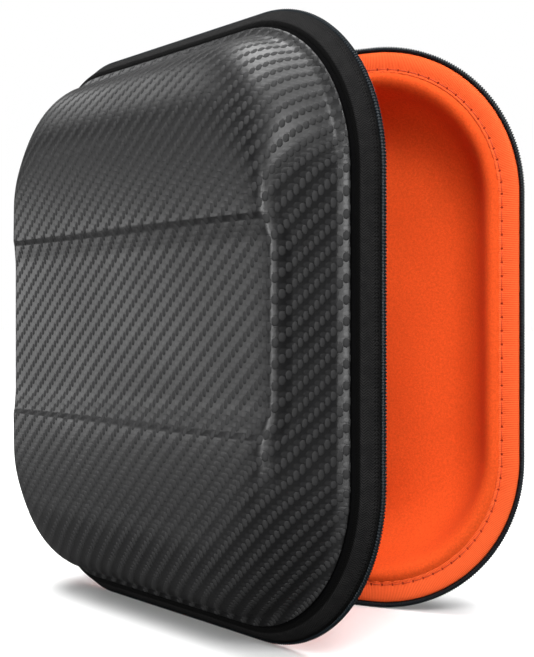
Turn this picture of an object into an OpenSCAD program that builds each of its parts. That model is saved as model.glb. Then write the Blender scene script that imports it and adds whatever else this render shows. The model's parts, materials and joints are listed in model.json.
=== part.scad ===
// Zipped clamshell carrying case for over-ear headphones.
// Two moulded foam halves, covered outside and lined inside, stand on their rims like a
// half-open book. A fabric spine joins them, and a double-slider coil zip runs round the rest.
//
// Each half is drawn in its own frame: x runs from the spine to the opening edge, y runs from
// the middle of the height to the top, and z is the depth behind the rim plane. A profile point
// is [side inset, end inset, depth], where the insets are measured in from the rim outline.

/* [Case] */
// Height of the case as it stands on its rim
case_h = 240; // [238:2:260]
// Width from the spine to the opening edge
case_w = 230; // [200:2:232]
// Radius of the rim's corners on the opening side
corner_r = 66; // [62:1:70]
// Radius of the rim's corners on the spine side
spine_corner_r = 54; // [52:1:62]
// Depth of one half, from the rim plane to its raised face
half_depth = 37.2; // [36:0.2:44]
// Angle between the two halves as drawn
opening = 25; // [0:1:150]

/* [Face] */
// Half the height of the recessed band, at its upper edge
band_half = 38; // [36:0.5:38]
// Width of the slope at each edge of the band
band_slope = 2.5; // [1.5:0.5:4]
// How far the band lies below the raised face
band_drop = 3; // [1:0.5:3]

/* [Layers] */
// Thickness of the outer cover
cover_t = 1.0; // [0.6:0.1:1.2]
// Thickness of the lining
lining_t = 1.0; // [0.6:0.1:1.2]
// Thickness of the woven tape, the binding and the spine's leaves
tape_t = 0.8; // [0.5:0.1:0.8]
// Glue line between the moulded layers
glue = 0.05; // [0.02:0.01:0.1]

/* [Zip] */
// Radius of the coil along each rim
coil_r = 1.05; // [0.8:0.05:1.05]
// Half the length of the spine's fabric strip
spine_half = 30; // [20:1:30]
// Height at which the two closed coils part
chain_end = 66; // [60:1:68]
// Height of a parked slider's middle
slider_z = 41; // [40:0.5:43]
// Length of a slider
slider_l = 12; // [10:0.5:13]
// Half the width of a slider's wings
wing_half = 3.9; // [3.4:0.1:3.9]

/* [Pull] */
// Distance of the pull's pin from the hinge line
pin_reach = 4.3; // [4.2:0.1:4.8]
// Width of the pull
pull_w = 6; // [5:0.2:6]
// Length of the soft grip
grip_l = 16; // [10:1:20]

/* [Hidden] */

leather_grey = [0.16, 0.16, 0.17];
foam_grey = [0.25, 0.25, 0.26];
lining_orange = [0.93, 0.34, 0.13];
binding_orange = [0.98, 0.40, 0.18];
tape_black = [0.08, 0.08, 0.09];
coil_black = [0.05, 0.07, 0.09];
metal_black = [0.12, 0.12, 0.13];
rubber_black = [0.06, 0.06, 0.06];

arc_steps = 11;
$fn = 48;
eps = 0.01;

// Offset that puts the origin under the middle of the half-open case.
bridge_top = pin_reach + 1.9;
ridge_in = 25;
ridge_drop = 0.9;
front_reach = (case_w - ridge_in) * sin(opening) + (half_depth - ridge_drop) * cos(opening);
mid_x = (case_w - bridge_top * cos(opening / 2)) / 2;
mid_y = (half_depth - front_reach) / 2;

// ---- profiles of the moulded layers ----

// Outer surface, from the groove beside the zip tape, up the wall and over the ridge.
ridge = half_depth;
outer_profile = [
    [8.2, 8.2, 10.4],
    [10.0, 10.0, 11.6],
    [11.4, 11.4, 12.8],
    [12.4, 12.2, 14.6],
    [14.3, 13.4, 18.5],
    [16.3, 15.4, 22.5],
    [18.2, 18.4, ridge - 10.7],
    [20.2, 23.0, ridge - 6.8],
    [21.6, 28.0, ridge - 4.0],
    [23.5, 33.5, ridge - 1.7],
    [26.5, 39.5, ridge - 0.4],
    [31.0, 46.0, ridge]
];
// The level from which the recessed band cuts into the outer surface.
band_from = 7;
// How far the band's cut moves the ridge out for each millimetre of depth.
wall_lean = (20.2 - 12.4) / (ridge - 6.8 - 14.6);

// Lining surface, from the binding's inner edge over the lip, down the wall to the floor.
floor_z = ridge - 7.7;
inner_profile = [
    [10.6, 10.6, 2.4],
    [11.4, 11.4, 1.0],
    [12.9, 12.9, 0.4],
    [14.7, 14.7, 1.0],
    [16.5, 16.4, 3.2],
    [18.5, 17.8, 7.4],
    [21.5, 20.4, floor_z - 16],
    [24.8, 24.4, floor_z - 9.5],
    [29.5, 29.8, floor_z - 4.5],
    [36.0, 37.0, floor_z - 1.2],
    [44.0, 45.0, floor_z]
];

// Foam flange between the tape and the binding.
flange_profile = [
    [7.1, 7.1, 8.5],
    [4.6, 4.6, 5.6],
    [4.6, 4.6, 2.35],
    [10.0, 10.0, 2.95]
];

// Tape's outer face, from beside the coil to the groove.
tape_foot = [1.02, 2.66];
tape_groove = [6.2, 9.2];
tape_dir = (tape_groove - tape_foot) / norm(tape_groove - tape_foot);
tape_in = [tape_dir[1], -tape_dir[0]];

// ---- geometry helpers ----

// Radius of a ring's corners: concentric near the rim, fuller further in.
function ring_r(rim_r, side, end) =
    rim_r - (side + end) / 2 + max(0, ((side + end) / 2 - 8) * 0.25);

function arc(cx, cy, r, start) = [
    for (k = [0 : arc_steps]) let (a = start + 90 * k / arc_steps)
        [cx + r * cos(a), cy + r * sin(a)]
];

function raise(points, z) = [for (p = points) [p[0], p[1], z]];

// One level of a moulded layer: a rounded rectangle with points at the band's edges.
function ring(p, drop) =
    let (
        r = ring_r(corner_r, p[0], p[1]),
        r2 = ring_r(spine_corner_r, p[0], p[1]),
        x1 = p[0] - drop * wall_lean,
        x2 = case_w - x1,
        low = band_half - band_slope,
        top = case_h / 2 - p[1]
    )
    concat(
        [[case_w - p[0], -band_half, p[2]], [x2, -low, p[2] - drop],
         [x2, low, p[2] - drop], [case_w - p[0], band_half, p[2]]],
        raise(arc(case_w - p[0] - r, top - r, r, 0), p[2]),
        raise(arc(p[0] + r2, top - r2, r2, 90), p[2]),
        [[p[0], band_half, p[2]], [x1, low, p[2] - drop],
         [x1, -low, p[2] - drop], [p[0], -band_half, p[2]]],
        raise(arc(p[0] + r2, r2 - top, r2, 180), p[2]),
        raise(arc(case_w - p[0] - r, r - top, r, 270), p[2])
    );

// A profile moved by t along its own normal, into the shell for a positive t.
function slope(p, k, c) =
    let (a = p[max(k - 1, 0)], b = p[min(k + 1, len(p) - 1)])
    [b[c] - a[c], b[2] - a[2]] / norm([b[c] - a[c], b[2] - a[2]]);
function inward(p, t) = [
    for (k = [0 : len(p) - 1]) let (s = slope(p, k, 0), e = slope(p, k, 1))
        [p[k][0] + t * s[1], p[k][1] + t * e[1], p[k][2] - t * (s[0] + e[0]) / 2]
];
function reversed(list) = [for (k = [len(list) - 1 : -1 : 0]) list[k]];

// Rings of an outer-surface profile, with the band cut in from its level on.
function outer_rings(p) = [
    for (k = [0 : len(p) - 1]) ring(p[k], k >= band_from ? band_drop : 0)
];
function plain_rings(p) = [for (q = p) ring(q, 0)];

// Solid skinned over a list of rings, closed at both ends by flat zones.
module skin(rings) {
    n = len(rings[0]);
    side = arc_steps + 1;
    left = 4 + 2 * side;
    zones = [
        concat([3], [for (k = [4 : left - 1]) k], [left]),
        [2, 3, left, left + 1],
        [1, 2, left + 1, left + 2],
        [0, 1, left + 2, left + 3],
        concat([for (k = [left + 3 : n - 1]) k], [0])
    ];
    last = (len(rings) - 1) * n;
    walls = [
        for (k = [0 : len(rings) - 2], j = [0 : n - 1])
            let (a = k * n + j, b = k * n + (j + 1) % n)
            each [[a, b, b + n], [a, b + n, a + n]]
    ];
    polyhedron(
        points = [for (r = rings) each r],
        faces = concat(
            [for (z = zones) reversed(z)],
            walls,
            [for (z = zones) [for (k = z) k + last]]
        )
    );
}

// A child drawn in [inset, depth] and swept round the whole rim outline.
module sweep_rim() {
    // Straight runs, then corners, each as [x, y, turn, length or radius].
    runs = [
        [case_w, case_h / 2 - corner_r, 0, case_h - 2 * corner_r],
        [spine_corner_r, case_h / 2, 90, case_w - corner_r - spine_corner_r],
        [0, spine_corner_r - case_h / 2, 180, case_h - 2 * spine_corner_r],
        [case_w - corner_r, -case_h / 2, 270, case_w - corner_r - spine_corner_r]
    ];
    corners = [
        [case_w - corner_r, case_h / 2 - corner_r, 0, corner_r],
        [spine_corner_r, case_h / 2 - spine_corner_r, 90, spine_corner_r],
        [spine_corner_r, spine_corner_r - case_h / 2, 180, spine_corner_r],
        [case_w - corner_r, corner_r - case_h / 2, 270, corner_r]
    ];
    for (q = runs)
        translate([q[0], q[1], 0]) rotate([0, 0, q[2]]) rotate([90, 0, 0])
            linear_extrude(q[3]) mirror([1, 0]) children();
    for (q = corners)
        translate([q[0], q[1], 0]) rotate([0, 0, q[2]]) rotate_extrude(angle = 90)
            translate([q[3], 0]) mirror([1, 0]) children();
}

// Box across the spine side, as tall as twice the given height.
module spine_zone(half) {
    translate([-eps, -half, -eps]) cube([12, 2 * half, 12]);
}

// Room round the hinge line for the sliders and the closed end of the zip.
module slider_room() {
    room_r = 5.2;
    for (s = [-1, 1])
        translate([0, s * (spine_half + 0.5 + chain_end + 1) / 2, 0])
            rotate([90, 0, 0])
            cylinder(r = room_r, h = chain_end - spine_half + 0.5, center = true);
}

// ---- one half of the case ----

module outer_cover() {
    color(leather_grey)
        skin(concat(
            reversed(outer_rings(outer_profile)),
            outer_rings(inward(outer_profile, cover_t))
        ));
}

module eva_shell() {
    color(foam_grey)
        skin(concat(
            reversed(outer_rings(inward(outer_profile, cover_t + glue))),
            plain_rings(flange_profile),
            plain_rings(inward(inner_profile, -lining_t - glue))
        ));
}

module lining() {
    color(lining_orange)
        skin(concat(
            reversed(plain_rings(inward(inner_profile, -lining_t))),
            plain_rings(inner_profile)
        ));
}

module rim_binding() {
    start = [2.6, 1.0];
    end = [10.5, 1.9];
    back = [0, tape_t];
    color(binding_orange) difference() {
        sweep_rim() polygon([start, end, end + back, start + back]);
        slider_room();
    }
}

module zip_tape() {
    back = tape_in * tape_t;
    color(tape_black) difference() {
        sweep_rim() polygon([tape_foot, tape_groove, tape_groove + back, tape_foot + back]);
        spine_zone(spine_half + 0.5);
        slider_room();
    }
}

module zip_coil() {
    color(coil_black) difference() {
        sweep_rim() translate([coil_r, coil_r + 0.15]) circle(r = coil_r);
        spine_zone(chain_end + 0.5);
    }
}

// Half of the spine strip: a leaf that runs from beside the hinge line to the groove.
module spine_leaf() {
    near = tape_groove - 9.6 * tape_dir;
    back = tape_in * tape_t;
    color(tape_black)
        translate([0, spine_half, 0]) rotate([90, 0, 0])
        linear_extrude(2 * spine_half)
        polygon([near, tape_groove, tape_groove + back, near + back]);
}

// ---- pieces on the hinge line, drawn with x towards the case and z up ----

module spine_fold() {
    color(tape_black) half_round(180);
}

module spine_lining() {
    color(binding_orange) half_round(0);
}

// Half of the rolled fabric on the hinge line, on the side that the angle faces.
module half_round(angle) {
    fold_r = 1.1;
    rotate([0, 0, angle - 90]) translate([0, 0, -spine_half])
        rotate_extrude(angle = 180) square([fold_r, 2 * spine_half]);
}

// Closed end of the zip: the two coils run side by side along the hinge line.
module zip_chain() {
    strand_r = 0.8;
    strand_gap = 1.35;
    start = spine_half + 3;
    color(coil_black)
        for (s = [-1, 1])
            translate([0, s * strand_gap, start]) cylinder(r = strand_r, h = chain_end - start);
}

// Crimped stop that ends the chain beside the spine strip.
module zip_stop() {
    stop_l = 1.8;
    color(metal_black)
        translate([-1.3, -2.3, spine_half + 3 - stop_l]) cube([2.6, 4.6, stop_l]);
}

module wing_outline() {
    tail = 1.4;
    nose = 1.6;
    hull() {
        for (s = [-1, 1]) {
            translate([slider_l / 2 - nose, s * (wing_half - nose)]) circle(r = nose, $fn = 32);
            translate([-slider_l / 2 + tail, s * (wing_half - 2.2)]) circle(r = tail, $fn = 32);
        }
    }
}

// Zip slider: two wings, a post between the coils and a bridge for the pull.
module slider() {
    gap = 1.85;
    wing_t = 1.0;
    lip = 0.7;
    lip_l = 6;
    bridge_w = 2.0;
    bridge_half = 4.0;
    window = 1.0;
    color(metal_black) translate([0, 0, slider_z]) {
        for (x = [-gap, gap + wing_t])
            translate([x, 0, 0]) rotate([0, -90, 0]) linear_extrude(wing_t) wing_outline();
        for (x = [-gap, gap - 0.8], y = [-wing_half + 0.1, wing_half - 0.1 - lip])
            translate([x, y, -2]) cube([0.8, lip, lip_l]);
        translate([-gap, -0.35, 2.4]) cube([2 * gap, 0.7, 3]);
        difference() {
            translate([-bridge_top, -bridge_w / 2, -bridge_half])
                cube([bridge_top - gap - wing_t, bridge_w, 2 * bridge_half]);
            for (z = [-1.2, 1.2])
                translate([-pin_reach, 0, z]) rotate([90, 0, 0])
                    cylinder(r = window, h = 3, center = true);
            translate([-pin_reach - window, -1.5, -1.2]) cube([2 * window, 3, 2.4]);
        }
    }
}

// Pull's metal link: a pin through the bridge, two arms and a tongue for the grip.
arm_l = 8;
link_t = 1.2;
tongue_w = 3.4;
tongue_l = 5;
module pull_link() {
    pin_r = 0.65;
    arm_w = 1.6;
    color(metal_black) translate([-pin_reach, 0, 0]) {
        rotate([90, 0, 0]) cylinder(r = pin_r, h = pull_w, center = true);
        for (s = [-1, 1]) {
            translate([0, s * (pull_w - arm_w) / 2, 0]) {
                rotate([90, 0, 0]) cylinder(r = 1.1, h = arm_w, center = true);
                translate([-link_t / 2, -arm_w / 2, -arm_l]) cube([link_t, arm_w, arm_l]);
            }
        }
        translate([-link_t / 2, -pull_w / 2, -arm_l - 1.6]) cube([link_t, pull_w, 1.6]);
        pull_tongue();
    }
}

module pull_tongue() {
    tongue_t = 0.8;
    translate([-link_t / 2, -tongue_w / 2, -arm_l - 1.6 - tongue_l])
        cube([tongue_t, tongue_w, tongue_l + eps]);
}

// Soft grip moulded over the link's tongue.
module pull_grip() {
    grip_t = 2.2;
    round_r = 1.8;
    top = -arm_l - 1.6;
    color(rubber_black) translate([-pin_reach, 0, 0]) difference() {
        translate([link_t / 2, 0, top]) rotate([0, -90, 0]) linear_extrude(grip_t)
            hull() {
                for (s = [-1, 1]) {
                    translate([-grip_l + round_r, s * (pull_w / 2 - round_r)])
                        circle(r = round_r, $fn = 32);
                    translate([-1, s * (pull_w / 2 - 1)]) circle(r = 1, $fn = 32);
                }
            }
        pull_tongue();
    }
}

// ---- placing ----

module in_case() {
    translate([-mid_x, -mid_y, case_h / 2]) children();
}
module rear_half() {
    in_case() mirror([0, 1, 0]) rotate([90, 0, 0]) children();
}
module front_half() {
    in_case() rotate([0, 0, -opening]) rotate([90, 0, 0]) children();
}
// The spine's own pieces share the angle between the halves equally.
module on_spine() {
    in_case() rotate([0, 0, -opening / 2]) children();
}
module on_lower_spine() {
    on_spine() mirror([0, 0, 1]) children();
}
// Both pulls hang down from their sliders.
module pull_at(s) {
    on_spine() translate([0, 0, s * slider_z]) children();
}

rear_half() outer_cover();  // outer_cover_rear
rear_half() eva_shell();  // eva_shell_rear
rear_half() lining();  // lining_rear
rear_half() rim_binding();  // rim_binding_rear
rear_half() zip_tape();  // zip_tape_rear
rear_half() zip_coil();  // zip_coil_rear
rear_half() spine_leaf();  // spine_leaf_rear
front_half() outer_cover();  // outer_cover_front
front_half() eva_shell();  // eva_shell_front
front_half() lining();  // lining_front
front_half() rim_binding();  // rim_binding_front
front_half() zip_tape();  // zip_tape_front
front_half() zip_coil();  // zip_coil_front
front_half() spine_leaf();  // spine_leaf_front
on_spine() spine_fold();
on_spine() spine_lining();
on_spine() zip_chain();  // zip_chain_upper
on_lower_spine() zip_chain();  // zip_chain_lower
on_spine() zip_stop();  // zip_stop_upper
on_lower_spine() zip_stop();  // zip_stop_lower
on_spine() slider();  // slider_upper
on_lower_spine() slider();  // slider_lower
pull_at(1) pull_link();  // pull_link_upper
pull_at(1) pull_grip();  // pull_grip_upper
pull_at(-1) pull_link();  // pull_link_lower
pull_at(-1) pull_grip();  // pull_grip_lower
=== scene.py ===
"""Looks for the zipped headphone case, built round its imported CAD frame.

Shapes are drawn in millimetres in each half's own frame: u runs from the spine to the opening
edge, v from the middle of the height upwards, and w is the depth behind the rim plane.
"""

import json
import math

import bpy
import numpy as np
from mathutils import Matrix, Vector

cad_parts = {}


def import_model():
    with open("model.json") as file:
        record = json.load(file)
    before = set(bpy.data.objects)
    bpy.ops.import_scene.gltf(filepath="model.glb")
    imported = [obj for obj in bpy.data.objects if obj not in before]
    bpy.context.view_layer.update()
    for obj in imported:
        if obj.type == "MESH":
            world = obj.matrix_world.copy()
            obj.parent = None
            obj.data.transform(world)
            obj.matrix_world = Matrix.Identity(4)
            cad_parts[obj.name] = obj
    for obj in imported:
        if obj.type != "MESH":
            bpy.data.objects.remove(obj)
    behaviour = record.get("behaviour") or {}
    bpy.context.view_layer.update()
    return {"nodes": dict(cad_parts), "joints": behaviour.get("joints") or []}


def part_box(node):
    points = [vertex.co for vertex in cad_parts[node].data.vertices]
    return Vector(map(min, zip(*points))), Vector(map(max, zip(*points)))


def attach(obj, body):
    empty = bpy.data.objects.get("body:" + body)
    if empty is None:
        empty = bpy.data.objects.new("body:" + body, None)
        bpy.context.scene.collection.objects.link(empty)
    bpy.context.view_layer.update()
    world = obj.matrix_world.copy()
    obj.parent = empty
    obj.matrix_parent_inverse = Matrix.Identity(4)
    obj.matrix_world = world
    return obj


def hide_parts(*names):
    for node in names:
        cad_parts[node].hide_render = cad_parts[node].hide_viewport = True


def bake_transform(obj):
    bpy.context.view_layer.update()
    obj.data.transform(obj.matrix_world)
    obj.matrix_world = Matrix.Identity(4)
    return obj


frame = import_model()

MM = 0.001
TAU = 2 * math.pi

# ---- driving sizes, read from the frame ----
JOINTS = {j["name"]: j for j in frame["joints"]}
LID = JOINTS["lid_hinge"]
HINGE_X, HINGE_Y, _ = (c / MM for c in LID["pos_m"])
OPENING = math.radians(-LID["range_deg"][0])
COIL_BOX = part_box("zip_coil_rear")
CASE_W = COIL_BOX[1].x / MM - HINGE_X
CASE_H = (COIL_BOX[1].z - COIL_BOX[0].z) / MM
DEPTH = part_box("outer_cover_rear")[1].y / MM - HINGE_Y
SPINE_HALF = (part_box("spine_fold")[1].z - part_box("spine_fold")[0].z) / MM / 2
CHAIN_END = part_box("zip_chain_upper")[1].z / MM - CASE_H / 2
# Rim corner radii at the opening edge and at the spine.
OPEN_R = 66.0
SPINE_R = 54.0

# The recessed band: half height at its creases, depth, and how it falls, crisply and then gently.
BAND_HALF = 39.4
BAND_DROP = 3.0
CREASE_SHARE = 0.34
CREASE_RUN = 3.0
EASE_START = 0.5
EASE_RUN = 12.0
# The wall's foot and ridge, as inset and depth. In the band, what lies past the ridge moves out
# by PINCH for each millimetre.
FOOT_INSET = 12.4
FOOT_DEPTH = 14.6
RIDGE_INSET = 20.2
RIDGE_DEPTH = DEPTH - 6.8
PINCH = 0.45
# Fall of the raised face towards its top and bottom ends.
CROWN = 0.9
CROWN_RUN = 34.0
CROWN_START = 28.0
CROWN_EASE = 8.0

# Repeats of the trims, along the rim.
COIL_PITCH = 1.15
STITCH_PITCH = 5.6
RIB_PITCH = 0.75
SEWING_PITCH = 1.6


# ---- placing: half frames to the case's frame ----

def to_case(points, half):
    """Points [u, v, w] in millimetres to metres in the case's frame."""
    u, v, w = np.asarray(points, float).T
    if half == "rear":
        x, y = u, w
    elif half == "front":
        x = u * math.cos(OPENING) - w * math.sin(OPENING)
        y = -u * math.sin(OPENING) - w * math.cos(OPENING)
    else:
        turn = -OPENING / 2
        x = u * math.cos(turn) - w * math.sin(turn)
        y = u * math.sin(turn) + w * math.cos(turn)
    return np.stack([x + HINGE_X, y + HINGE_Y, v + CASE_H / 2], 1) * MM


def make_piece(name, points, faces, half, uv, material):
    """A smooth mesh object in the case's frame. uv, if any, is a pair in mm for each point."""
    co = to_case(points, half)
    if half != "front":
        faces = [tuple(reversed(f)) for f in faces]
    mesh = bpy.data.meshes.new(name)
    mesh.from_pydata(co.tolist(), [], faces)
    mesh.validate()
    if uv is not None:
        layer = mesh.uv_layers.new(name="flat_mm")
        loop_points = np.zeros(len(mesh.loops), int)
        mesh.loops.foreach_get("vertex_index", loop_points)
        layer.data.foreach_set("uv", np.asarray(uv, float)[loop_points].ravel())
    mesh.polygons.foreach_set("use_smooth", [True] * len(mesh.polygons))
    obj = bpy.data.objects.new(name, mesh)
    bpy.context.scene.collection.objects.link(obj)
    mesh.materials.append(material)
    return obj


# ---- moulded layers: rings round the case and a grid across the face ----

ARC_STEPS = 18
ACROSS = 28
# Rows of points over half of the height: sparse in the band and close together at its crease.
BAND_ROWS = [4, 12, 20, 26, 28, 30, 32, 34, 35.3]
CREASE_ROWS = list(np.linspace(BAND_HALF - 3.0, BAND_HALF + 1.0, 17))
LINES_V = np.array(sorted(sign * v for sign in (-1, 1) for v in BAND_ROWS + CREASE_ROWS))
# Corners of rings further in than this keep more of their radius.
GROWTH_START = 8.0
GROWTH = 0.25


def smoothstep(t):
    """0 to 1 with soft ends."""
    t = np.clip(t, 0, 1)
    return t * t * (3 - 2 * t)


def ring_r(rim_r, side, end):
    """Corner radius of a ring from the rim's radius and its two insets."""
    mean = (side + end) / 2
    return rim_r - mean + max(0.0, (mean - GROWTH_START) * GROWTH)


def band_depth(v):
    """0 on the raised face, 1 in the recessed band, with soft creases."""
    into = BAND_HALF - np.abs(v)
    crease = CREASE_SHARE * smoothstep(into / CREASE_RUN)
    return crease + (1 - CREASE_SHARE) * smoothstep((into - EASE_START) / EASE_RUN)


def edge_stretch(side, end, r):
    """One upright stretch of a ring as [inset, v], from the bottom edge up to the top edge."""
    top = CASE_H / 2 - end
    a = np.radians(np.linspace(-90, 0, ARC_STEPS + 1))
    low = np.stack([side + r - r * np.cos(a), r - top + r * np.sin(a)], 1)
    lines = LINES_V * min(1.0, (top - r - 0.05) / LINES_V[-1])
    mid = np.stack([np.full(len(lines), side), lines], 1)
    return np.concatenate([low, mid, low[::-1] * [1, -1]])


def ring(side, end, depth, drop=0.0, lean=0.0, grow=0.0, pinch=0.0):
    """One closed ring of points [u, v, w], anticlockwise from the right-hand bottom edge.

    In the band the ring drops, leans outwards with the wall, and moves out by pinch as well."""
    both = []
    for rim_r in (OPEN_R, SPINE_R):
        edge = edge_stretch(side, end, ring_r(rim_r, side, end) + grow)
        share = band_depth(edge[:, 1])
        outwards = share * (drop * lean + pinch)
        both.append(np.stack([edge[:, 0] - outwards, edge[:, 1], depth - share * drop], 1))
    right, left = both
    right = right * [-1, 1, 1] + [CASE_W, 0, 0]
    t = np.linspace(0, 1, ACROSS + 1)[1:-1, None]
    top = right[-1] * (1 - t) + left[-1] * t
    bottom = left[0] * (1 - t) + right[0] * t
    return np.concatenate([right, top, left[::-1], bottom])


SIDE_N = len(edge_stretch(0, 0, OPEN_R))
RING_N = 2 * SIDE_N + 2 * (ACROSS - 1)


def face_grid(last, start):
    """Points and faces that close a ring with straight rows from its left to its right side."""
    right = np.arange(SIDE_N) + start
    left = start + SIDE_N + ACROSS - 1 + np.arange(SIDE_N)[::-1]
    grid = np.zeros((SIDE_N, ACROSS + 1), int)
    grid[:, 0], grid[:, -1] = left, right
    grid[-1, 1:-1] = (start + SIDE_N + np.arange(ACROSS - 1))[::-1]
    grid[0, 1:-1] = start + 2 * SIDE_N + ACROSS - 1 + np.arange(ACROSS - 1)
    new, count = [], start + RING_N
    for j in range(1, SIDE_N - 1):
        a, b = last[left[j] - start], last[right[j] - start]
        for k in range(1, ACROSS):
            new.append(a + (b - a) * k / ACROSS)
            grid[j, k] = count
            count += 1
    faces = [
        (grid[j, k], grid[j, k + 1], grid[j + 1, k + 1], grid[j + 1, k])
        for j in range(SIDE_N - 1) for k in range(ACROSS)
    ]
    return np.array(new), faces


def smooth_line(points, per):
    """Catmull-Rom curve through a list of points."""
    p = np.asarray(points, float)
    p = np.concatenate([[2 * p[0] - p[1]], p, [2 * p[-1] - p[-2]]])
    out = []
    for k in range(1, len(p) - 2):
        a, b, c, d = p[k - 1:k + 3]
        for t in np.arange(per) / per:
            out.append(0.5 * (2 * b + (c - a) * t + (2 * a - 5 * b + 4 * c - d) * t * t
                              + (3 * b - a - 3 * c + d) * t ** 3))
    return np.array(out + [p[-2]])


def flat_growth(side, end, flat_side, flat_end):
    """How much larger a ring's corners are in the flat sheet than by its insets alone."""
    wanted = ring_r(0.0, side, end) + (side - flat_side + end - flat_end) / 2
    return wanted - ring_r(0.0, flat_side, flat_end)


def moulded(name, profile, half, material, drop=0.0, lean=0.0):
    """A skin along a profile [side inset, end inset, depth], closed by a flat grid.

    Its wall falls by drop and leans out in the band, increasingly from its foot to its ridge.
    Its uv is the sheet before moulding: arc length down the walls, true size on the face."""
    line = smooth_line(profile, 4)
    rings, flats = [], []
    step = np.diff(line, axis=0)
    side_run = np.concatenate([[0], np.cumsum(np.hypot(step[:, 0], step[:, 2]))])
    end_run = np.concatenate([[0], np.cumsum(np.hypot(step[:, 1], step[:, 2]))])
    for k, (side, end, depth) in enumerate(line):
        share = np.clip((depth - FOOT_DEPTH) / (RIDGE_DEPTH - FOOT_DEPTH), 0, 1)
        fall = drop * share
        pinch = PINCH * max(0.0, side - RIDGE_INSET) if drop else 0.0
        rings.append(ring(side, end, depth, fall, lean, pinch=pinch))
        fs = line[-1][0] - (side_run[-1] - side_run[k])
        fe = line[-1][1] - (end_run[-1] - end_run[k])
        spread = flat_growth(side, end, fs, fe)
        flats.append(ring(fs, fe, 0, fall, lean, spread, pinch)[:, :2])
    faces = []
    for k in range(len(rings) - 1):
        a = k * RING_N + np.arange(RING_N)
        b = k * RING_N + (np.arange(RING_N) + 1) % RING_N
        faces += list(zip(a, b, b + RING_N, a + RING_N))
    start = (len(rings) - 1) * RING_N
    inner, grid_faces = face_grid(rings[-1], start)
    points = np.concatenate(rings + [inner])
    if drop:
        rise = np.clip((np.abs(points[:, 1]) - BAND_HALF) / CROWN_RUN, 0, 1) ** 2
        points[:, 2] -= CROWN * rise * smoothstep((points[:, 2] - CROWN_START) / CROWN_EASE)
    uv = np.concatenate(flats + [inner[:, :2]])
    if half == "rear":
        uv = uv * [-1, 1]
    faces = [tuple(int(i) for i in f) for f in faces + grid_faces]
    return make_piece(name, points, faces, half, uv, material)


# ---- pieces swept along the rim ----

FINE_STEP = 0.75
COARSE_STEP = 1.5
ACROSS_RUN = CASE_W - OPEN_R - SPINE_R
# Legs of the rim from the spine's middle: length, then corner radius or 0 on a straight.
LEGS = [
    (CASE_H / 2 - SPINE_R, 0), (SPINE_R * math.pi / 2, SPINE_R), (ACROSS_RUN, 0),
    (OPEN_R * math.pi / 2, OPEN_R), (CASE_H - 2 * OPEN_R, 0), (OPEN_R * math.pi / 2, OPEN_R),
    (ACROSS_RUN, 0), (SPINE_R * math.pi / 2, SPINE_R), (CASE_H / 2 - SPINE_R, 0)
]
RIM_LENGTH = sum(leg[0] for leg in LEGS)


def rim_at(s):
    """Point on the rim outline and its inward direction, s mm from the spine's middle."""
    turn, point = math.pi / 2, np.array([0.0, 0.0])
    for length, radius in LEGS:
        run = min(s, length)
        ahead = np.array([math.cos(turn), math.sin(turn)])
        inward = np.array([ahead[1], -ahead[0]])
        here = inward
        if radius:
            bend = run / radius
            here = inward * math.cos(bend) - ahead * math.sin(bend)
            point = point + (inward - here) * radius
            turn -= bend
        else:
            point = point + ahead * run
        s -= run
        if s <= 1e-9:
            break
    return point, here


def rim_path(start, stop, step):
    """Even places along the rim, with the outline's points and inward directions there."""
    count = max(2, int(round((stop - start) / step)) + 1)
    s = np.linspace(start, stop, count)
    found = [rim_at(x) for x in s]
    return s, np.array([f[0] for f in found]), np.array([f[1] for f in found])


def loft_faces(rows, loop, first=0):
    """Faces of a tube of rows, each a loop of points, with both ends closed."""
    faces = []
    for a in range(rows - 1):
        for b in range(loop):
            here, up = first + a * loop, first + (a + 1) * loop
            c = (b + 1) % loop
            faces.append((here + b, here + c, up + c, up + b))
    faces.append(tuple(first + b for b in range(loop - 1, -1, -1)))
    faces.append(tuple(first + (rows - 1) * loop + b for b in range(loop)))
    return faces


def sweep(name, profile, half, material, start, stop, step, wobble=None):
    """A closed profile of [inset, depth] points swept along the rim between two places.

    wobble(s, inset, depth) may return small changes to the inset and depth."""
    profile = np.asarray(profile, float)
    s, base, inward = rim_path(start, stop, step)
    n, k = len(s), len(profile)
    inset = np.repeat(profile[None, :, 0], n, 0)
    depth = np.repeat(profile[None, :, 1], n, 0)
    if wobble:
        di, dw = wobble(s[:, None], inset, depth)
        inset, depth = inset + di, depth + dw
    u = base[:, None, 0] + inward[:, None, 0] * inset
    v = base[:, None, 1] + inward[:, None, 1] * inset
    points = np.stack([u, v, depth], 2).reshape(-1, 3)
    run = np.concatenate([[0], np.cumsum(np.hypot(*np.diff(profile, axis=0).T))])
    uv = np.stack(np.broadcast_arrays(s[:, None], run[None, :]), 2).reshape(-1, 2)
    return make_piece(name, points, loft_faces(n, k), half, uv, material)


def tube(name, centres, radius, half, material, sides=6):
    """A round wire along a list of [u, v, w] centres."""
    c = np.asarray(centres, float)
    ahead = np.gradient(c, axis=0)
    ahead /= np.linalg.norm(ahead, axis=1)[:, None]
    side = np.cross(ahead, [0.31, 0.17, 0.93])
    side /= np.linalg.norm(side, axis=1)[:, None]
    other = np.cross(ahead, side)
    a = np.arange(sides) / sides * TAU
    ringed = (c[:, None] + radius * (np.cos(a)[None, :, None] * side[:, None]
                                     + np.sin(a)[None, :, None] * other[:, None]))
    points = ringed.reshape(-1, 3)
    return make_piece(name, points, loft_faces(len(c), sides), half, None, material)


# ---- materials ----

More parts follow.
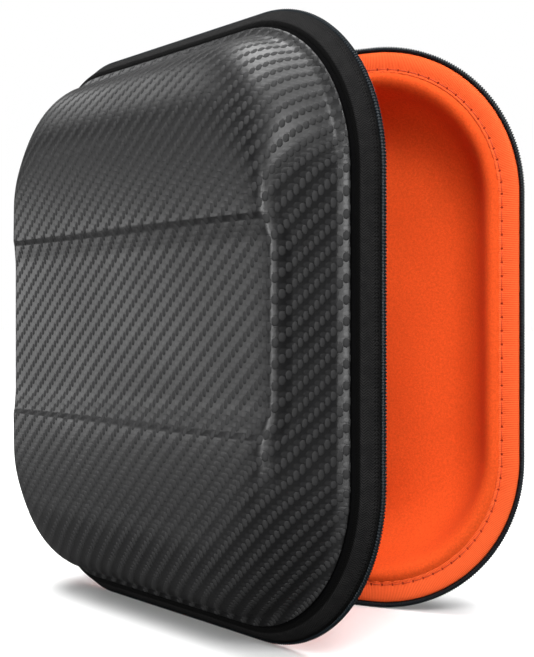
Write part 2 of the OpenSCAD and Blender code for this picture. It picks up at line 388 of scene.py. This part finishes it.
class Nodes:
    """Short calls that add shader nodes and join them."""

    def __init__(self, name):
        self.material = bpy.data.materials.new(name)
        self.material.use_nodes = True
        self.tree = self.material.node_tree
        self.shader = self.tree.nodes["Principled BSDF"]

    def put(self, target, value):
        """Link a socket, or set a constant."""
        if isinstance(value, bpy.types.NodeSocket):
            self.tree.links.new(value, target)
        else:
            target.default_value = value

    def add(self, kind, out=0, inputs=(), **options):
        node = self.tree.nodes.new(kind)
        for key, value in options.items():
            setattr(node, key, value)
        for key, value in dict(inputs).items():
            self.put(node.inputs[key], value)
        return node.outputs[out]

    def math(self, operation, a, b=0.0, c=0.0):
        return self.add("ShaderNodeMath", inputs={0: a, 1: b, 2: c}, operation=operation)

    def wave(self, value, pitch):
        """A sine between 0 and 1."""
        turned = self.math("MULTIPLY", value, TAU / pitch)
        return self.math("MULTIPLY_ADD", self.math("SINE", turned), 0.5, 0.5)

    def ramp(self, value, low, high, to_low=0.0, to_high=1.0):
        return self.add("ShaderNodeMapRange", interpolation_type="SMOOTHSTEP", inputs={
            "Value": value, "From Min": low, "From Max": high, "To Min": to_low,
            "To Max": to_high})

    def mix(self, share, a, b):
        node = self.tree.nodes.new("ShaderNodeMix")
        node.data_type = "RGBA"
        for key, value in ((0, share), (6, a), (7, b)):
            self.put(node.inputs[key], value)
        return node.outputs[2]

    def noise(self, vector, scale, detail=2.0, rough=0.5):
        return self.add("ShaderNodeTexNoise", inputs={
            "Vector": vector, "Scale": scale, "Detail": detail, "Roughness": rough})

    def uv(self):
        """The piece's flat coordinates in millimetres."""
        both = self.add("ShaderNodeUVMap", uv_map="flat_mm")
        split = self.tree.nodes.new("ShaderNodeSeparateXYZ")
        self.tree.links.new(both, split.inputs[0])
        return split.outputs[0], split.outputs[1]

    def place(self):
        """Object coordinates in metres."""
        return self.add("ShaderNodeTexCoord", out=3)

    def bump(self, height, distance, strength=1.0, normal=None):
        inputs = {"Height": height, "Distance": distance, "Strength": strength}
        if normal is not None:
            inputs["Normal"] = normal
        return self.add("ShaderNodeBump", inputs=inputs)

    def finish(self, **sockets):
        for key, value in sockets.items():
            self.put(self.shader.inputs[key.replace("_", " ")], value)
        return self.material


def color(r, g, b):
    return (r, g, b, 1.0)


# One cell of the embossed twill, and half sizes of its ovals and ribs in cells.
TWILL_W = 2.17
TWILL_H = 1.82
OVAL_HALF = (0.56, 0.90)
WEFT_HALF = (0.95, 0.5)
WEFT_HEIGHT = 0.09
EMBOSS = 0.00044


def leather():
    """Synthetic leather embossed with a two-by-two twill of raised ovals."""
    n = Nodes("twill_leather")
    x, y = n.uv()
    x = n.math("DIVIDE", x, TWILL_W)
    y = n.math("DIVIDE", y, TWILL_H)
    column = n.math("FLOOR", x)
    row = n.math("FLOOR", y)
    # Raised ovals: two cells tall, one cell higher in each next column.
    dx = n.math("DIVIDE", n.math("SUBTRACT", n.math("FRACT", x), 0.5), OVAL_HALF[0])
    beat = n.math("FLOORED_MODULO", n.math("SUBTRACT", y, column), 4.0)
    dy = n.math("DIVIDE", n.math("SUBTRACT", beat, 1.0), OVAL_HALF[1])
    oval = n.math("ADD", n.math("MULTIPLY", dx, dx), n.math("POWER", n.math("ABSOLUTE", dy), 2.2))
    warp = n.math("SQRT", n.math("MAXIMUM", n.math("SUBTRACT", 1.0, oval), 0.0))
    # Low ribs between them: two cells wide, one in each row.
    beat = n.math("FLOORED_MODULO", n.math("SUBTRACT", x, row), 4.0)
    ex = n.math("DIVIDE", n.math("SUBTRACT", beat, 3.0), WEFT_HALF[0])
    ey = n.math("DIVIDE", n.math("SUBTRACT", n.math("FRACT", y), 0.5), WEFT_HALF[1])
    rib = n.math("ADD", n.math("POWER", n.math("ABSOLUTE", ex), 4.0), n.math("MULTIPLY", ey, ey))
    weft = n.math("SQRT", n.math("MAXIMUM", n.math("SUBTRACT", 1.0, rib), 0.0))
    height = n.math("MAXIMUM", warp, n.math("MULTIPLY", weft, WEFT_HEIGHT))
    place = n.place()
    grain = n.noise(place, 2600.0, 3.0)
    cloudy = n.noise(place, 22.0, 3.0)
    is_dot = n.ramp(warp, 0.02, 0.30)
    fine = n.bump(grain, 0.00004, 0.45)
    normal = n.bump(height, EMBOSS, 1.0, fine)
    # Painted shade: the ground is darker down in the crevices between the low ribs than on their
    # tops.
    ground = n.mix(n.ramp(weft, 0.1, 0.7), color(0.0025, 0.0025, 0.0027),
                   color(0.0080, 0.0080, 0.0084))
    tone = n.mix(is_dot, ground, color(0.0125, 0.0125, 0.0129))
    shade = n.mix(n.ramp(cloudy, 0.35, 0.65, 0.0, 0.2), tone, color(0.007, 0.007, 0.0073))
    rough = n.math("ADD", n.math("MULTIPLY", is_dot, 0.40), n.ramp(cloudy, 0.3, 0.7, 0.36, 0.41))
    return n.finish(Base_Color=shade, Roughness=rough, Normal=normal, Specular_IOR_Level=0.28)


def knit(n, place):
    """Fuzzy knitted surface: fine loops and larger, softer clouds."""
    loops = n.noise(place, 2400.0, 3.0, 0.6)
    tufts = n.noise(place, 950.0, 2.0, 0.5)
    return n.math("MULTIPLY_ADD", loops, 0.6, n.math("MULTIPLY", tufts, 0.4))


def jersey():
    """Brushed orange jersey, laminated over foam."""
    n = Nodes("jersey_lining")
    place = n.place()
    fuzz = knit(n, place)
    cloudy = n.noise(place, 38.0, 3.0)
    tone = n.mix(n.ramp(fuzz, 0.30, 0.70), color(0.62, 0.066, 0.009), color(0.82, 0.100, 0.015))
    tone = n.mix(n.ramp(cloudy, 0.42, 0.7, 0.0, 0.15), tone, color(0.58, 0.056, 0.007))
    dents = n.bump(cloudy, 0.0012, 0.35)
    return n.finish(Base_Color=tone, Roughness=0.85, Normal=n.bump(fuzz, 0.00016, 0.8, dents),
                    Specular_IOR_Level=0.15)


def ribbon():
    """Orange ribbon ribbed across its width, with needle holes where the thread goes in."""
    n = Nodes("ribbed_ribbon")
    x, y = n.uv()
    fuzz = knit(n, n.place())
    rib = n.wave(x, RIB_PITCH)
    height = n.math("MULTIPLY_ADD", rib, 0.6, n.math("MULTIPLY", fuzz, 0.6))
    tone = n.mix(n.ramp(height, 0.35, 0.85), color(0.74, 0.085, 0.016), color(0.95, 0.145, 0.036))
    beat = n.math("SUBTRACT", n.math("FRACT", n.math("DIVIDE", x, STITCH_PITCH)), 0.5)
    near = n.math("MULTIPLY", n.math("SUBTRACT", n.math("ABSOLUTE", beat), 0.5), STITCH_PITCH)
    off = n.math("SUBTRACT", y, HOLE_RUN)
    hole = n.math("ADD", n.math("MULTIPLY", near, near), n.math("MULTIPLY", off, off))
    hole = n.ramp(hole, 0.08, 0.45, 1.0, 0.0)
    tone = n.mix(hole, tone, color(0.26, 0.018, 0.004))
    height = n.math("SUBTRACT", height, n.math("MULTIPLY", hole, 1.5))
    return n.finish(Base_Color=tone, Roughness=0.8, Normal=n.bump(height, 0.00016, 0.9),
                    Specular_IOR_Level=0.15)


# The herringbone's wale width, the slant of its ribs and their pitch.
WALE = 1.5
WALE_SLANT = 0.9
WALE_RIB = 0.95


def woven_tape(name, groove_run, sewing_run):
    """Black tape in a herringbone of narrow slanting ribs, with two rows of sewing.

    Past groove_run, where it dips under the edge of the cover, it is painted near black as shade
    in the groove."""
    n = Nodes(name)
    x, y = n.uv()
    side = n.math("PINGPONG", y, WALE)
    slant = n.math("ADD", x, n.math("MULTIPLY", side, WALE_SLANT))
    rib = n.wave(slant, WALE_RIB)
    place = n.place()
    fuzz = n.noise(place, 1500.0, 3.0, 0.7)
    worn = n.noise(place, 260.0, 3.0, 0.6)
    height = n.math("MULTIPLY_ADD", rib, 0.7, n.math("MULTIPLY", fuzz, 0.6))
    beat = n.math("SUBTRACT", n.math("FRACT", n.math("DIVIDE", x, SEWING_PITCH)), 0.5)
    along = n.math("MULTIPLY", beat, SEWING_PITCH)
    row = n.math("SUBTRACT", n.math("PINGPONG", n.math("SUBTRACT", y, sewing_run), 1.0), 0.5)
    dent = n.math("ADD", n.math("MULTIPLY", along, along), n.math("MULTIPLY", row, row))
    seam = n.ramp(n.math("ABSOLUTE", n.math("SUBTRACT", y, sewing_run)), 1.0, 1.1, 1.0, 0.0)
    dent = n.math("MULTIPLY", n.ramp(dent, 0.02, 0.10, 1.0, 0.0), seam)
    lit = n.math("MULTIPLY", n.ramp(height, 0.25, 0.95), n.ramp(worn, 0.35, 0.65, 0.55, 1.0))
    tone = n.mix(lit, color(0.0035, 0.0035, 0.0038), color(0.013, 0.0127, 0.0125))
    tone = n.mix(dent, tone, color(0.001, 0.001, 0.001))
    # Painted shade: the tape turns near black past groove_run, in the groove under the cover's
    # edge.
    groove_shade = n.ramp(y, groove_run - 0.5, groove_run + 0.4)
    tone = n.mix(groove_shade, tone, color(0.0004, 0.0004, 0.0004))
    height = n.math("SUBTRACT", height, n.math("MULTIPLY", dent, 1.2))
    return n.finish(Base_Color=tone, Roughness=0.85, Normal=n.bump(height, 0.00022, 1.0),
                    Specular_IOR_Level=0.06)


def plain(name, base, roughness, grain=900.0, depth=0.00004, metallic=0.0, coat=0.0,
          gloss=0.5):
    """Moulded, cast or spun surface with a fine grain and slight tone changes."""
    n = Nodes(name)
    place = n.place()
    fine = n.noise(place, grain, 3.0)
    cloudy = n.noise(place, 60.0, 2.0)
    tone = n.mix(n.ramp(cloudy, 0.3, 0.7, 0.0, 0.35), base, color(*(c * 1.8 for c in base[:3])))
    rough = n.ramp(fine, 0.3, 0.7, roughness - 0.06, roughness + 0.08)
    return n.finish(Base_Color=tone, Roughness=rough, Normal=n.bump(fine, depth, 0.6),
                    Metallic=metallic, Coat_Weight=coat, Specular_IOR_Level=gloss)


# ---- profiles, matching the CAD model ----

# Skins as [side inset, end inset, depth]: the cover from its rolled foot to the raised face.
OUTER = [
    [9.2, 9.2, 9.9], [8.6, 8.6, 9.7], [8.2, 8.2, 10.4], [10.0, 10.0, 11.6], [11.4, 11.4, 12.8],
    [FOOT_INSET, 12.2, FOOT_DEPTH], [14.3, 13.4, 18.5], [16.3, 15.4, 22.5],
    [18.2, 18.4, DEPTH - 10.7], [RIDGE_INSET, 23.0, RIDGE_DEPTH], [21.6, 28.0, DEPTH - 4.0],
    [23.5, 33.5, DEPTH - 1.7], [26.5, 39.5, DEPTH - 0.4], [31.0, 46.0, DEPTH]
]
WALL_LEAN = (RIDGE_INSET - FOOT_INSET) / (RIDGE_DEPTH - FOOT_DEPTH)
# The lining from under the binding, over its padded lip, to the cavity's floor.
FLOOR = DEPTH - 7.7
INNER = [
    [9.9, 9.9, 2.6], [10.4, 10.4, 1.75], [11.2, 11.2, 1.15], [12.9, 12.9, 0.6],
    [14.9, 14.9, 1.2], [16.9, 16.8, 3.4], [19.0, 18.4, 7.6], [21.5, 20.4, FLOOR - 16],
    [24.8, 24.4, FLOOR - 9.5], [29.5, 29.8, FLOOR - 4.5], [36.0, 37.0, FLOOR - 1.2],
    [44.0, 45.0, FLOOR]
]
# Trims as closed loops of [inset, depth].
TAPE = [[0.95, 2.45], [2.2, 4.3], [3.6, 6.2], [4.7, 7.6], [5.4, 8.15], [6.5, 8.4], [7.9, 8.7],
        [7.9, 8.2], [6.2, 7.6], [4.6, 6.0], [3.0, 4.0], [1.7, 2.3]]
BINDING = [[2.3, 1.9], [2.35, 1.25], [2.8, 0.85], [4.2, 0.72], [6.0, 0.80], [8.0, 1.15],
           [9.1, 1.50], [9.8, 1.62], [10.4, 1.55], [11.2, 1.25], [10.6, 2.4], [5.0, 2.1]]


def run_length(line):
    """Length of a line of points."""
    return float(np.sum(np.hypot(*np.diff(np.array(line), axis=0).T)))


# Where across the tape it dips under the cover and its painted groove shade begins, and a value
# past the edge of a flat webbing, where no groove shade is painted.
GROOVE_RUN = run_length(TAPE[:5])
NO_GROOVE = 1000.0
# The binding's stitches: place, length and thread, and how far they sink at their holes.
STITCH_I, STITCH_W = 9.6, 1.48
STITCH_LENGTH, THREAD_R, STITCH_SINK = 5.0, 0.2, 0.22
HOLE_RUN = run_length(BINDING[:8]) - 0.2
# Lines of [u, w] on the rear half's side of the hinge line.
SPINE_OUTER = [[7.7, 8.9], [6.5, 8.6], [5.3, 8.1], [4.5, 7.4], [3.4, 6.0], [2.1, 4.2], [0.9, 2.6],
               [-0.2, 1.5]]
SPINE_INNER = [[5.4, 0.62], [4.4, 0.48], [3.2, 0.46], [2.2, 0.52], [1.4, 0.55]]
ROOT_LINE = [[4.4, 7.0], [3.3, 5.9], [1.7, 4.4], [0.6, 3.1], [0.1, 1.8]]
# Height at which the zip's bending roots give way to the tapes and coils of the halves.
ROOT_END = CHAIN_END + 0.5
# Thicknesses of the spine's webbing and of its ribbon.
WEBBING_THICK, RIBBON_THICK = 0.8, 0.5
# The closed zip: its coils' distance from the hinge line, radius and wire, and where they start.
CHAIN_GAP, CHAIN_R, CHAIN_WIRE, CHAIN_START = 1.3, 0.62, 0.26, SPINE_HALF + 3
# Ribs of a grip: its outer face, their half length, number and radius, the first one's height
# above the grip's foot, and what is left free in all.
GRIP_FACE, RIB_HALF, RIBS, GRIP_RIB_R = -5.85, 1.9, 5, 0.32
RIB_FOOT, RIB_SPARE = 2.6, 7.0
# The open zip's coils: inset, depth, radius and wire.
COIL_I, COIL_W, COIL_R, COIL_WIRE = 1.1, 1.3, 0.86, 0.33
# Small waves of the trims: their heights, and where across the trim they lie.
PULL, PULL_WIDTH = 0.12, 1.6
FACE_WAVE, FACE_MIDDLE, FACE_WIDTH = 0.06, 5, 3
TAPE_WAVE, TAPE_MIDDLE, TAPE_WIDTH = 0.10, 3.6, 1.8


def bell(x, middle, width):
    """1 at the middle, fading to both sides."""
    return np.exp(-((x - middle) / width) ** 2)


def pucker(s, inset, depth):
    """Slight pull of the stitches on the binding, and a slow waver of its face."""
    pull = bell(inset, STITCH_I, PULL_WIDTH) * np.cos(s / STITCH_PITCH * TAU)
    slow = np.sin(s / 23.0) * np.sin(s / 9.1 + 1.3)
    face = FACE_WAVE * slow * bell(inset, FACE_MIDDLE, FACE_WIDTH)
    return np.zeros_like(inset), PULL * pull + face


def waver(s, inset, depth):
    """Slow ripple of the zip tape between coil and groove."""
    slow = np.sin(s / 7.3) * np.sin(s / 17.0 + 0.6)
    return -TAPE_WAVE * bell(inset, TAPE_MIDDLE, TAPE_WIDTH) * slow, np.zeros_like(depth)


# ---- pieces of one half ----

def cover(half, material):
    """Moulded leather cover with its recessed band."""
    obj = moulded(f"twill_cover_{half}", OUTER, half, material, BAND_DROP, WALL_LEAN)
    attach(obj, f"{half}_half")
    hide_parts(f"outer_cover_{half}")


def inside(half, material):
    """Lining with its padded lip."""
    obj = moulded(f"padded_lining_{half}", INNER, half, material)
    obj.data.flip_normals()
    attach(obj, f"{half}_half")
    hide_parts(f"lining_{half}")


def binding(half, material):
    """Ribbon round the rim, with its ends meeting at the middle of the spine."""
    gap = 0.2
    obj = sweep(f"ribbed_binding_{half}", BINDING, half, material, gap, RIM_LENGTH - gap,
                FINE_STEP, wobble=pucker)
    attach(obj, f"{half}_half")
    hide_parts(f"rim_binding_{half}")


def tape(half, material):
    """Zip tape along the rim, in one long piece and two short ends."""
    whole = sweep(f"woven_tape_{half}", TAPE, half, material, ROOT_END, RIM_LENGTH - ROOT_END,
                  COARSE_STEP, wobble=waver)
    # Beside the sliders the tape's foot is the bending zip root, so only the rest is here.
    low = sweep(f"tape_end_lower_{half}", TAPE[2:-2], half, material, RIM_LENGTH - ROOT_END,
                RIM_LENGTH - SPINE_HALF, COARSE_STEP)
    high = sweep(f"tape_end_upper_{half}", TAPE[2:-2], half, material, SPINE_HALF, ROOT_END,
                 COARSE_STEP)
    for obj in (whole, low, high):
        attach(obj, f"{half}_half")
    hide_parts(f"zip_tape_{half}")


def coil_centres(start, stop, steps=8):
    """Helix of one zip coil along the rim."""
    turns = (stop - start) / COIL_PITCH
    s, base, inward = rim_path(start, stop, COIL_PITCH / steps)
    a = np.linspace(0, turns * TAU, len(s))
    inset = COIL_I + COIL_R * np.cos(a)
    w = COIL_W + COIL_R * np.sin(a)
    return np.stack([base[:, 0] + inward[:, 0] * inset, base[:, 1] + inward[:, 1] * inset, w], 1)


def round_profile(inset, depth, radius, sides=10):
    """A round loop of [inset, depth]."""
    a = np.arange(sides) / sides * TAU
    return np.stack([inset + radius * np.cos(a), depth - radius * np.sin(a)], 1)


def coil(half, material):
    """Wound monofilament over its filler cord."""
    stop = RIM_LENGTH - ROOT_END
    wire = tube(f"wound_coil_{half}", coil_centres(ROOT_END, stop), COIL_WIRE, half, material)
    core = sweep(f"coil_core_{half}", round_profile(COIL_I, COIL_W, COIL_R - 0.1), half, material,
                 ROOT_END, stop, COARSE_STEP)
    for obj in (wire, core):
        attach(obj, f"{half}_half")
    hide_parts(f"zip_coil_{half}")


def stitches(half, material):
    """Running stitches of the binding, one short thread for each beat."""
    points, faces = [], []
    sides, steps = 6, 5
    count = int(RIM_LENGTH / STITCH_PITCH)
    for k in range(count):
        middle = (k + 0.5) * STITCH_PITCH
        for j in range(steps):
            t = j / (steps - 1) * 2 - 1
            base, inward = rim_at(middle + t * STITCH_LENGTH / 2)
            sunk = STITCH_SINK * t ** 4
            r = THREAD_R * math.sqrt(max(0.12, 1 - t ** 4))
            for b in range(sides):
                a = b / sides * TAU
                inset = STITCH_I + r * math.cos(a)
                xy = base + inward * inset
                points.append([xy[0], xy[1], STITCH_W + sunk + r * math.sin(a)])
        faces += loft_faces(steps, sides, k * sides * steps)
    obj = make_piece(f"running_stitches_{half}", points, faces, half, None, material)
    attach(obj, f"{half}_half")


# ---- the spine: fabric that bends round the hinge line ----

def on_spine(points):
    """Points [u, w] of the rear half in the spine's own frame, which halves the opening."""
    c, t = math.cos(OPENING / 2), math.sin(OPENING / 2)
    return [[u * c - w * t, u * t + w * c] for u, w in points]


def across_spine(rear_points, middle):
    """A line from the rear half's flange round the hinge line to the front half's."""
    rear = on_spine(rear_points)
    front = [[u, -w] for u, w in reversed(rear)]
    return smooth_line(rear + [[middle, 0.0]] + front, 4)


def webbing(name, line, thick, low, high, material, ripple=0.0):
    """A strip of cloth along the hinge line, curved round it from one half's flange to the
    other's.

    Its free middle sways by up to ripple."""
    ahead = np.gradient(line, axis=0)
    ahead /= np.linalg.norm(ahead, axis=1)[:, None]
    out = np.stack([ahead[:, 1], -ahead[:, 0]], 1) * thick / 2
    run = np.concatenate([[0], np.cumsum(np.hypot(*np.diff(line, axis=0).T))])
    loop = np.concatenate([line - out, (line + out)[::-1]])
    push = np.concatenate([-out, -out[::-1]]) / (thick / 2)
    loop_run = np.concatenate([run, run[::-1]])
    free = np.sin(loop_run / run[-1] * math.pi) ** 2
    heights = np.linspace(low, high, max(3, int((high - low) / COARSE_STEP)))
    points, uv = [], []
    for v in heights:
        sway = ripple * math.sin(v / 3.7 + 1.0) * math.sin(v / 8.3)
        at = loop + push * (free * sway)[:, None]
        points += [[u, v, w] for u, w in at]
        uv += [[v, r] for r in loop_run]
    obj = make_piece(name, points, loft_faces(len(heights), len(loop)), "spine", uv, material)
    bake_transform(obj)
    return obj


def spine(webbing_cloth, lining_ribbon, nylon, rubber):
    """Fabric hinge, its ribbon, and what stands at each end of it."""
    outer = webbing("spine_webbing", across_spine(SPINE_OUTER, -1.25), WEBBING_THICK,
                    -SPINE_HALF, SPINE_HALF, webbing_cloth, 0.12)
    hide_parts("spine_leaf_rear", "spine_leaf_front", "spine_fold")
    inner = webbing("spine_ribbon", across_spine(SPINE_INNER, 1.1), RIBBON_THICK, -SPINE_HALF,
                    SPINE_HALF, lining_ribbon, 0.08)
    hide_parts("spine_lining")
    for name, side in (("upper", 1), ("lower", -1)):
        ends = sorted((side * SPINE_HALF, side * ROOT_END))
        root = webbing(f"zip_root_{name}", across_spine(ROOT_LINE, 0.0), RIBBON_THICK, *ends,
                       webbing_cloth)
        chain(name, side, nylon)
        grip_ribs(name, rubber)


def chain(name, side, material):
    """Both coils of the zip's closed end, side by side on the hinge line."""
    low, high = sorted((side * CHAIN_START, side * CHAIN_END))
    steps, core_every = 8, 40
    turns = (high - low) / COIL_PITCH
    a = np.linspace(0, turns * TAU, int(turns * steps))
    v = np.linspace(low, high, len(a))
    core_v = v[::core_every]
    pieces = []
    for half, hand in (("rear", 1), ("front", -1)):
        centres = np.stack([CHAIN_R * np.cos(a), v, hand * (CHAIN_GAP + CHAIN_R * np.sin(a))], 1)
        wire = tube(f"chain_coil_{name}_{half}", centres, CHAIN_WIRE, "spine", material)
        straight = [[0, place, hand * CHAIN_GAP] for place in core_v]
        core = tube(f"chain_core_{name}_{half}", straight, CHAIN_R - 0.06, "spine", material, 10)
        pieces += [wire, core]
    for obj in pieces:
        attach(obj, "spine")
    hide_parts(f"zip_chain_{name}")


def grip_ribs(name, material):
    """Raised ribs on the outer face of a pull's soft grip."""
    low, high = (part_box(f"pull_grip_{name}")[k].z / MM - CASE_H / 2 for k in (0, 1))
    for k in range(RIBS):
        v = low + RIB_FOOT + k * (high - low - RIB_SPARE) / (RIBS - 1)
        line = [[GRIP_FACE, v, w] for w in np.linspace(-RIB_HALF, RIB_HALF, 7)]
        rib = tube(f"grip_rib_{name}_{k + 1}", line, GRIP_RIB_R, "spine", material, 8)
        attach(rib, f"{name}_pull")


# ---- stage, lights and camera ----

def stage(material):
    """A floor that reaches far beyond the view."""
    size = 60.0
    mesh = bpy.data.meshes.new("floor")
    mesh.from_pydata([(-size, -size, 0), (size, -size, 0), (size, size, 0), (-size, size, 0)], [],
                     [(0, 1, 2, 3)])
    floor = bpy.data.objects.new("floor", mesh)
    bpy.context.scene.collection.objects.link(floor)
    mesh.materials.append(material)


def aim(obj, place, target):
    """Put a light at a place, facing a target."""
    obj.location = place
    way = np.array(target, float) - np.array(place, float)
    yaw = math.atan2(-way[0], way[1])
    pitch = math.atan2(way[2], math.hypot(way[0], way[1]))
    obj.rotation_euler = (math.pi / 2 + pitch, 0, yaw)


def softbox(name, place, target, size, power):
    lamp = bpy.data.lights.new(name, "AREA")
    lamp.shape = "RECTANGLE"
    lamp.size, lamp.size_y = size
    lamp.energy = power
    obj = bpy.data.objects.new(name, lamp)
    bpy.context.scene.collection.objects.link(obj)
    aim(obj, place, target)


def lights():
    """Soft boxes round the case, each where one family of faces mirrors it, and a wide sky."""
    middle = (0, -0.02, CASE_H / 2 * MM)
    softbox("left_box", (-1.1, -0.18, 0.13), middle, (0.8, 0.34), 3.3)
    softbox("left_high_box", (-0.9, 0.14, 0.75), middle, (0.7, 0.22), 1.5)
    softbox("front_box", (-0.25, -1.35, 0.22), middle, (0.20, 0.5), 17)
    softbox("key_box", (0.70, -1.15, 1.2), middle, (0.8, 0.7), 27)
    softbox("low_box", (0.45, -1.35, 0.12), middle, (0.5, 0.3), 7)
    softbox("top_box", (-0.35, 0.0, 1.3), middle, (1.1, 0.4), 9)
    softbox("back_box", (0.5, 1.5, 0.6), middle, (0.9, 0.7), 14)
    overhead = bpy.data.lights.new("overhead", "SUN")
    overhead.energy = 3.6
    overhead.angle = math.radians(60)
    bpy.context.scene.collection.objects.link(bpy.data.objects.new("overhead", overhead))


def world():
    """White to the eye, dimmer as a light, so that the black case keeps its contrast."""
    scene = bpy.context.scene
    scene.world = bpy.data.worlds.new("studio")
    scene.world.use_nodes = True
    tree = scene.world.node_tree
    back = tree.nodes["Background"]
    back.inputs["Color"].default_value = (1.0, 1.0, 1.0, 1.0)
    path = tree.nodes.new("ShaderNodeLightPath")
    level = tree.nodes.new("ShaderNodeMapRange")
    level.inputs["To Min"].default_value = 0.08
    level.inputs["To Max"].default_value = 1.0
    tree.links.new(path.outputs["Is Camera Ray"], level.inputs["Value"])
    tree.links.new(level.outputs[0], back.inputs["Strength"])
    scene.view_settings.view_transform = "Standard"


def camera():
    """Camera level with the middle of the case, turned towards the rear half's inside."""
    yaw = math.radians(26.4)
    right = np.array([math.cos(yaw), math.sin(yaw)])
    ahead = np.array([-math.sin(yaw), math.cos(yaw)])
    hinge = np.array([HINGE_X, HINGE_Y])
    hinge_left, hinge_far, below = 102.2, 588.3, 0.6
    place = hinge + hinge_left * right - hinge_far * ahead
    data = bpy.data.cameras.new("camera")
    data.sensor_width = 36.0
    data.lens = 65.96
    data.clip_start = 0.01
    obj = bpy.data.objects.new("camera", data)
    bpy.context.scene.collection.objects.link(obj)
    obj.location = (place[0] * MM, place[1] * MM, (CASE_H / 2 - below) * MM)
    obj.rotation_euler = (math.pi / 2, 0, yaw)
    bpy.context.scene.camera = obj


def pale_floor():
    """Pale to the eye, and duller as a bounce light on the underside of the case."""
    n = Nodes("pale_floor")
    seen = n.add("ShaderNodeLightPath", out=0)
    cloudy = n.noise(n.place(), 3.0, 2.0)
    pale = n.mix(cloudy, color(0.88, 0.88, 0.88), color(0.92, 0.92, 0.92))
    return n.finish(Base_Color=n.mix(seen, color(0.09, 0.09, 0.09), pale), Roughness=0.9,
                    Specular_IOR_Level=0.1)


# ---- the case ----

camera()
world()
lights()

LEATHER = leather()
FOAM = plain("moulded_foam", color(0.0010, 0.0010, 0.0011), 0.9, 1400.0, gloss=0.03)
LINING = jersey()
BINDING_CLOTH = ribbon()
TAPE_CLOTH = woven_tape("herringbone_tape", GROOVE_RUN, 1.6)
SPINE_CLOTH = woven_tape("spine_webbing", NO_GROOVE, 4.0)
COIL_NYLON = plain("coil_nylon", color(0.0024, 0.0052, 0.0074), 0.42, 700.0, gloss=0.22)
THREAD = plain("orange_thread", color(0.46, 0.045, 0.008), 0.7, 2500.0)
METAL = plain("black_lacquer", color(0.030, 0.030, 0.033), 0.28, 500.0, 0.00002, 0.6, 0.4)
RUBBER = plain("soft_rubber", color(0.014, 0.014, 0.014), 0.62, 1600.0)

for half in ("rear", "front"):
    cover(half, LEATHER)
    inside(half, LINING)
    binding(half, BINDING_CLOTH)
    tape(half, TAPE_CLOTH)
    coil(half, COIL_NYLON)
    stitches(half, THREAD)

spine(SPINE_CLOTH, BINDING_CLOTH, COIL_NYLON, RUBBER)

CAD_FINISH = {
    FOAM: ["eva_shell_rear", "eva_shell_front"],
    METAL: ["zip_stop_upper", "zip_stop_lower", "slider_upper", "slider_lower",
            "pull_link_upper", "pull_link_lower"],
    RUBBER: ["pull_grip_upper", "pull_grip_lower"]
}
for finish, nodes in CAD_FINISH.items():
    for node in nodes:
        mesh = frame["nodes"][node].data
        mesh.materials.clear()
        mesh.materials.append(finish)

stage(pale_floor())
